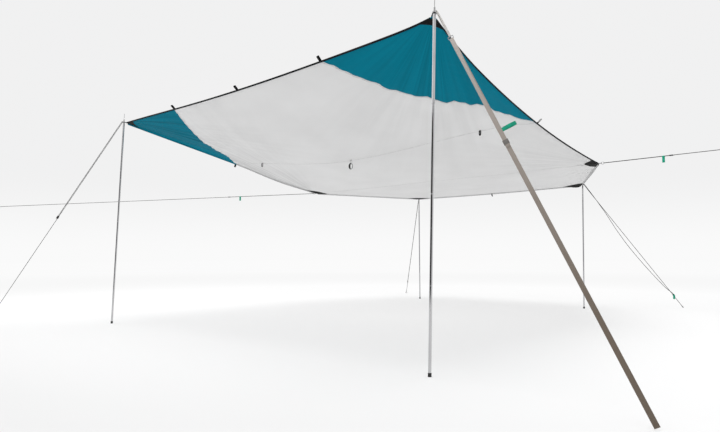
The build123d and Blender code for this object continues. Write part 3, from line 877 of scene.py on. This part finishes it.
def edge_stations():
    """Places round the cloth's edge, about 30 mm apart, each with the way outwards."""
    outer, inner = outline(0.003), outline(0.0005)
    stations = []
    for k in range(len(outer)):
        a, b = outer[k - 1], outer[k]
        c, d = inner[k - 1], inner[k]
        count = max(1, round(hypot(b[0] - a[0], b[1] - a[1]) / 0.03))
        for t in (i / count for i in range(count)):
            x, run = a[0] + (b[0] - a[0]) * t, a[1] + (b[1] - a[1]) * t
            ix, irun = c[0] + (d[0] - c[0]) * t, c[1] + (d[1] - c[1]) * t
            stations.append((on_cloth(ix, irun), Vector((x - ix, run - irun, 0)).normalized()))
    return stations


def has_trim(name, place):
    """No trim reaches a pole's tip, and each hem keeps to its own colour of cloth."""
    if min((flat(place) - flat(corner)).length for corner in CORNERS.values()) < TIP_ROOM:
        return False
    teal = panel_of(place.x, max(place.y - FRONT_Y, 0.001)) != "main"
    return name == "edge_binding_tape" or teal == (name == "edge_hem_teal")


def make_edge_trims():
    """The dark tape folded over the cut edge, and the light or teal hem inside it."""
    stations = edge_stations()
    for name, (section, slot, node) in EDGE_TRIMS.items():
        build = bmesh.new()
        rings = []
        for point, out in stations:
            rings.append([build.verts.new(point + out * away + Vector((0, 0, up))) for away, up in section])
        for a, b in zip(rings, rings[1:] + rings[:1]):
            if has_trim(name, (a[3].co + b[3].co) / 2):
                join_rows(build, a, b, closed=True)
        bmesh.ops.delete(build, geom=[v for v in build.verts if not v.link_faces], context="VERTS")
        bmesh.ops.recalc_face_normals(build, faces=build.faces)
        add(name, finished(name, build), slot, node)


def neighbours(name):
    """The corners before and after one."""
    order = list(CORNERS)
    k = order.index(name)
    return CORNERS[order[k - 1]], CORNERS[order[(k + 1) % 6]]


def patch_rows(name, far, near=0.002, lift=-0.0016, columns=28, rows=12):
    """Grid over a corner's patch: from the corner's two edges, with a hollow inner edge."""
    corner = flat(CORNERS[name])
    a, b = ((flat(other) - corner).normalized() for other in neighbours(name))
    made = []
    for j in range(rows + 1):
        row = []
        for i in range(columns + 1):
            t = i / columns
            way = (a * (1 - t) + b * t).normalized()
            edge = 1.12 - 0.45 * sin(pi * t)
            distance = near + (far * edge - near) * j / rows
            inset = inward(name) * 0.026
            place = corner + way * distance + inset
            sag = PATCH_SAG.get(name, 0) * sin(pi * t) ** 0.6 * sin(pi * (j + 1) / (rows + 1))
            row.append(on_cloth(place.x, place.y - FRONT_Y, lift - sag))
        made.append(row)
    return made


# How far each patch reaches along its edges, and how far its middle hangs clear of the canopy.
PATCH_REACH = {"front_right": 0.095, "front_left": 0.125, "left_side": 0.20, "right_side": 0.19,
               "rear_left": 0.20, "rear_right": 0.22}
PATCH_SAG = {"left_side": 0.012, "right_side": 0.022, "rear_left": 0.014, "rear_right": 0.030}


def make_patches():
    pieces = [shell(f"patch_{name}", patch_rows(name, reach), 0.0010, "patch_black")
              for name, reach in PATCH_REACH.items()]
    joined("corner_patch_cloth", pieces, "patch_black", "corner_patches")


def seam_rows(points, wide, lift):
    """Grid for a strip of cloth along a line of (x, run) points."""
    rows = []
    for k, (x, run) in enumerate(points):
        before, after = points[max(k - 1, 0)], points[min(k + 1, len(points) - 1)]
        along = Vector((after[0] - before[0], after[1] - before[1], 0)).normalized()
        side = Vector((-along.y, along.x, 0)) * wide / 2
        rows.append([on_cloth(x + side.x * t, run + side.y * t, lift) for t in (-1, -0.4, 0.4, 1)])
    return rows


def seam_lines():
    """The seams as lines of (x, run) points: two right across, and the coloured panels'."""
    lines = []
    for run in (SIDE_RUN / 2, SIDE_RUN):
        half = half_width(run) - 0.030
        lines.append(spaced([(-half, run), (half, run)], 0.03))
    for side in (-1, 1):
        ends = [(side * SEAM_FRONT, 0.022), (side * (half_width(SEAM_SIDE) - 0.012), SEAM_SIDE)]
        lines.append(spaced(ends, 0.02))
    return lines


def make_seams():
    """Felled seams: a folded strip along each."""
    pieces = [shell(f"seam_{k}", seam_rows(line, 0.011, -0.0010), 0.0008, "binding", "seam")
              for k, line in enumerate(seam_lines())]
    joined("seam_strips", pieces, "binding", "seam_tapes", "seam")


def stitch_row(build, points, lift, long=0.008, gap=0.014, thick=0.0003):
    """Short raised threads along a line on the cloth's underside."""
    for (ax, ay), (bx, by) in zip(points, points[1:]):
        span = hypot(bx - ax, by - ay)
        if span < gap:
            continue
        dx, dy = (bx - ax) / span, (by - ay) / span
        for i in range(int(span / gap)):
            x, y = ax + dx * gap * i, ay + dy * gap * i
            start, end = on_cloth(x, y, lift), on_cloth(x + dx * long, y + dy * long, lift)
            side = Vector((-dy, dx, 0)) * thick
            mid = (start + end) / 2 - Vector((0, 0, thick * 1.6))
            ring = [build.verts.new(p) for p in (start, mid + side, end, mid - side)]
            low = build.verts.new(mid - Vector((0, 0, thick)))
            build.faces.new(ring)
            for k in range(4):
                build.faces.new((ring[(k + 1) % 4], ring[k], low))


def make_stitches():
    """Two rows of stitches along each seam."""
    build = bmesh.new()
    for line in seam_lines():
        (ax, ay), (bx, by) = line[0], line[-1]
        span = hypot(bx - ax, by - ay)
        dx, dy = (bx - ax) / span, (by - ay) / span
        for off in (-0.0038, 0.0038):
            moved = [(x - dy * off, y + dx * off) for x, y in line[1:-1]]
            stitch_row(build, spaced([moved[0], moved[-1]], 0.25), -0.0015)
    add("seam_stitches", finished("stitches", build), "canopy_grey", material="thread")


LOOP_UP, LOOP_DOWN = radians(130), radians(25)   # how far edge loops are turned up from hanging
LOOP_HALF_WIDE, LOOP_THICK = 0.0105, 0.0028
# Half of a loop's doubled webbing: (off its middle, away from the edge).
LOOP_SIDE = [(0.0022, 0.0), (0.0030, 0.014), (0.0042, 0.030), (0.0030, 0.044)]
LOOP_LONG = 0.047


def edge_points():
    """Edge loops: x, run, the way outwards, and the turn up from hanging."""
    quarter, middle_side = FRONT_HALF / 2, half_width(SIDE_RUN / 2)
    spots = [(x, 0.0, Vector((0, -1, 0)), LOOP_UP) for x in (-quarter, 0.0, quarter)]
    spots.append((middle_side, SIDE_RUN / 2, Vector((1, 0, 0)), LOOP_UP))
    spots.append((-middle_side, SIDE_RUN / 2, Vector((-1, 0, 0)), LOOP_DOWN))
    spots.append((0.0, REAR_RUN, Vector((0, 1, 0)), LOOP_DOWN))
    return spots


def edge_loop(x, run, out, tilt, twist):
    """One short doubled webbing, sewn in behind the binding and twisted a little beyond it."""
    start = on_cloth(x, min(max(run, 0.012), REAR_RUN - 0.012)) - out * 0.006
    along = Vector((-out.y, out.x, 0))
    turn = Matrix.Rotation(-tilt, 3, along)
    way, flat_way = turn @ Vector((0, 0, -1)), turn @ out
    twisted = Matrix.Rotation(twist, 3, way)
    shape = LOOP_SIDE + [(0.0, LOOP_LONG)] + [(-side, down) for side, down in reversed(LOOP_SIDE)]
    centres, sides = [], []
    for side, down in shape:
        bend = twisted if down > 0.01 else Matrix.Identity(3)
        centres.append(start + bend @ flat_way * side + way * down)
        sides.append(bend @ along * LOOP_HALF_WIDE)
    return band("loop", centres, sides, LOOP_THICK)


def take_in(build, mesh):
    """Moves a mesh's faces into a bmesh."""
    build.from_mesh(mesh)
    bpy.data.meshes.remove(mesh)


def make_edge_loops():
    build = bmesh.new()
    for k, spot in enumerate(edge_points()):
        take_in(build, edge_loop(*spot, twist=radians(18 + 9 * (k % 3))))
    add("edge_loop_webbing", finished("edge_loop_webbing", build), "webbing_black", "edge_loops")


# x, run, and the turn of each lantern loop's opening in degrees.
LANTERN_SPOTS = [(0.0, 1.48, 40), (1.5, 1.48, 70), (-1.45, 1.48, 20), (0.045, 2.98, 50), (1.5, 0.74, 90)]
RING_TURN = 13.9


def hoop(start, turn, tall, wide, width, thick, heavy):
    """A band hung as an open loop: turn is the way across its opening, in degrees from X, and one of
    its sides thickens to heavy."""
    along = Vector((cos(radians(turn)), sin(radians(turn)), 0))
    face = along.cross(Vector((0, 0, 1)))
    centres, depths = [], []
    steps = 16
    for k in range(steps + 1):
        angle = 2 * pi * k / steps
        drop = tall / 2 * (1 - cos(angle))
        centres.append(start + along * (wide / 2 * sin(angle)) - Vector((0, 0, drop)))
        depths.append(thick + (heavy - thick) * max(0.0, -sin(angle)))
    return band("hoop", centres, [face * width / 2] * len(centres), depths)


def make_lantern_loops():
    """Webbing loops under the seams, and the stiff black ring in the middle one."""
    loops = bmesh.new()
    for x, run, turn in LANTERN_SPOTS:
        start = on_cloth(x, run, -0.002)
        take_in(loops, hoop(start, turn, tall=0.046, wide=0.016, width=0.014, thick=0.0022, heavy=0.0022))
    add("lantern_loop_webbing", finished("lantern_loop_webbing", loops), "webbing_black", "lantern_loops")
    x, run, _ = LANTERN_SPOTS[0]
    ring = hoop(on_cloth(x, run, -0.036), RING_TURN, tall=0.064, wide=0.036, width=0.012, thick=0.002,
                heavy=0.018)
    add("lantern_ring_hoop", ring, "plastic_black", "lantern_ring")


make_edge_trims()
make_edge_loops()
make_lantern_loops()
make_patches()
make_seams()
make_stitches()


# ---- finishes of the CAD nodes --------------------
def finish_node(node, material):
    """Gives a shown CAD node its material."""
    piece = bpy.data.objects[node]
    if not piece.material_slots:
        piece.data.materials.append(material)
    for place in piece.material_slots:
        place.material = material


slots = {row["node"]: row["material_slot"] for row in frame["record"]["subparts"]}
for node in frame["nodes"]:
    finish_node(node, M[slots[node]])


# ---- floor and light --------------------
def grey_ramp(nodes, fac, stops):
    """A ramp through (position, grey) stops."""
    (low, first), *between, (high, last) = stops
    tone = nodes.ramp(fac, low, high, (first,) * 3, (last,) * 3)
    for position, grey in between:
        tone.node.color_ramp.elements.new(position).color = (grey, grey, grey, 1)
    return tone


def stage_piece(name, build, material):
    """Links a mesh that belongs to the studio."""
    piece = bpy.data.objects.new(name, finished(name, build))
    scene.collection.objects.link(piece)
    piece.data.materials.append(material)
    return piece


def make_floor():
    """White paper that glows in part, painted light that softens the shadows on it, with painted shade in a
    ring round the shelter and in a band in front of it; far from the shelter it fades into the backdrop's
    tone.
    """
    build = bmesh.new()
    bmesh.ops.create_grid(build, x_segments=1, y_segments=1, size=60)
    paint = Nodes("floor", (0.92, 0.92, 0.92), 0.8)
    paint.shader.inputs["Specular IOR Level"].default_value = 0.0
    away = paint.new("ShaderNodeVectorMath", operation="LENGTH")
    paint.join(paint.place, away.inputs[0])
    away = away.outputs["Value"]
    fade = paint.new("ShaderNodeMapRange", interpolation_type="SMOOTHSTEP")
    fade.inputs["From Min"].default_value = 5.0
    fade.inputs["From Max"].default_value = 20.0
    fade.inputs["To Min"].default_value = 0.56
    paint.join(away, fade.inputs["Value"])
    outwards, forwards = paint.maths("DIVIDE", away, 10.0), paint.maths("DIVIDE", paint.split()["Y"], -10.0)
    # Painted shade: a darker ring about 4 m out, and a darker band 2.4 to 8 m in front of the shelter.
    shade_ring = grey_ramp(paint, outwards, [(0.0, 1.01), (0.40, 0.83), (0.66, 0.955), (1.0, 0.96)])
    shade_band = grey_ramp(paint, forwards, [(0.24, 1.0), (0.42, 0.74), (0.80, 1.0)])
    glow = paint.new("ShaderNodeEmission")
    paint.join(paint.multiplied(shade_ring, shade_band), glow.inputs["Color"])
    paint.mixed_with(glow.outputs["Emission"], fade.outputs["Result"])
    stage_piece("floor", build, paint.material)


def area_light(name, place, target, size, power):
    """A round white lamp at place, turned to its target."""
    data = bpy.data.lights.new(name, "AREA")
    data.shape, data.size, data.energy = "DISK", size, power
    light = bpy.data.objects.new(name, data)
    scene.collection.objects.link(light)
    light.location = place
    light.rotation_mode = "QUATERNION"
    light.rotation_quaternion = (Vector(target) - Vector(place)).to_track_quat("-Z", "Y")


def make_card():
    """A dark curved panel in front of the shelter that only the polished steel mirrors."""
    build = bmesh.new()
    centre, radius, low, high = Vector((1.9, -2.3, 0)), 5.2, 0.12, 3.05
    rows = []
    for k in range(13):
        turn = radians(-150 + 120 * k / 12)
        place = centre + Vector((cos(turn), sin(turn), 0)) * radius
        rows.append([build.verts.new(place + Vector((0, 0, z))) for z in (low, high)])
    for a, b in zip(rows, rows[1:]):
        join_rows(build, a, b)
    card = stage_piece("card", build, Nodes("card", (0.02, 0.018, 0.018), 1.0).material)
    card.visible_camera = card.visible_diffuse = card.visible_shadow = False
    card.visible_transmission = card.visible_volume_scatter = False


def make_world():
    """Pale studio all round, a little lighter towards the horizon."""
    world = bpy.data.worlds.new("studio")
    scene.world = world
    world.use_nodes = True
    tree = world.node_tree
    back = tree.nodes["Background"]
    back.inputs["Strength"].default_value = 1.0
    place = tree.nodes.new("ShaderNodeTexCoord").outputs["Generated"]
    parts = tree.nodes.new("ShaderNodeSeparateXYZ")
    tree.links.new(place, parts.inputs["Vector"])
    tone = tree.nodes.new("ShaderNodeValToRGB")
    tone.color_ramp.interpolation = "EASE"
    tone.color_ramp.elements[0].color = (0.955, 0.955, 0.955, 1)
    tone.color_ramp.elements[1].color = (0.878, 0.878, 0.88, 1)
    tone.color_ramp.elements[1].position = 0.14
    tree.links.new(parts.outputs["Z"], tone.inputs["Fac"])
    tree.links.new(tone.outputs["Color"], back.inputs["Color"])


make_floor()
make_card()
make_world()
area_light("key", (0.4, -0.6, 8.0), (0.2, -0.2, 1), 6, 420)
area_light("fill", (-4.0, -3.0, 5.0), (0, 0, 1), 5, 90)
scene.view_settings.view_transform = "Standard"
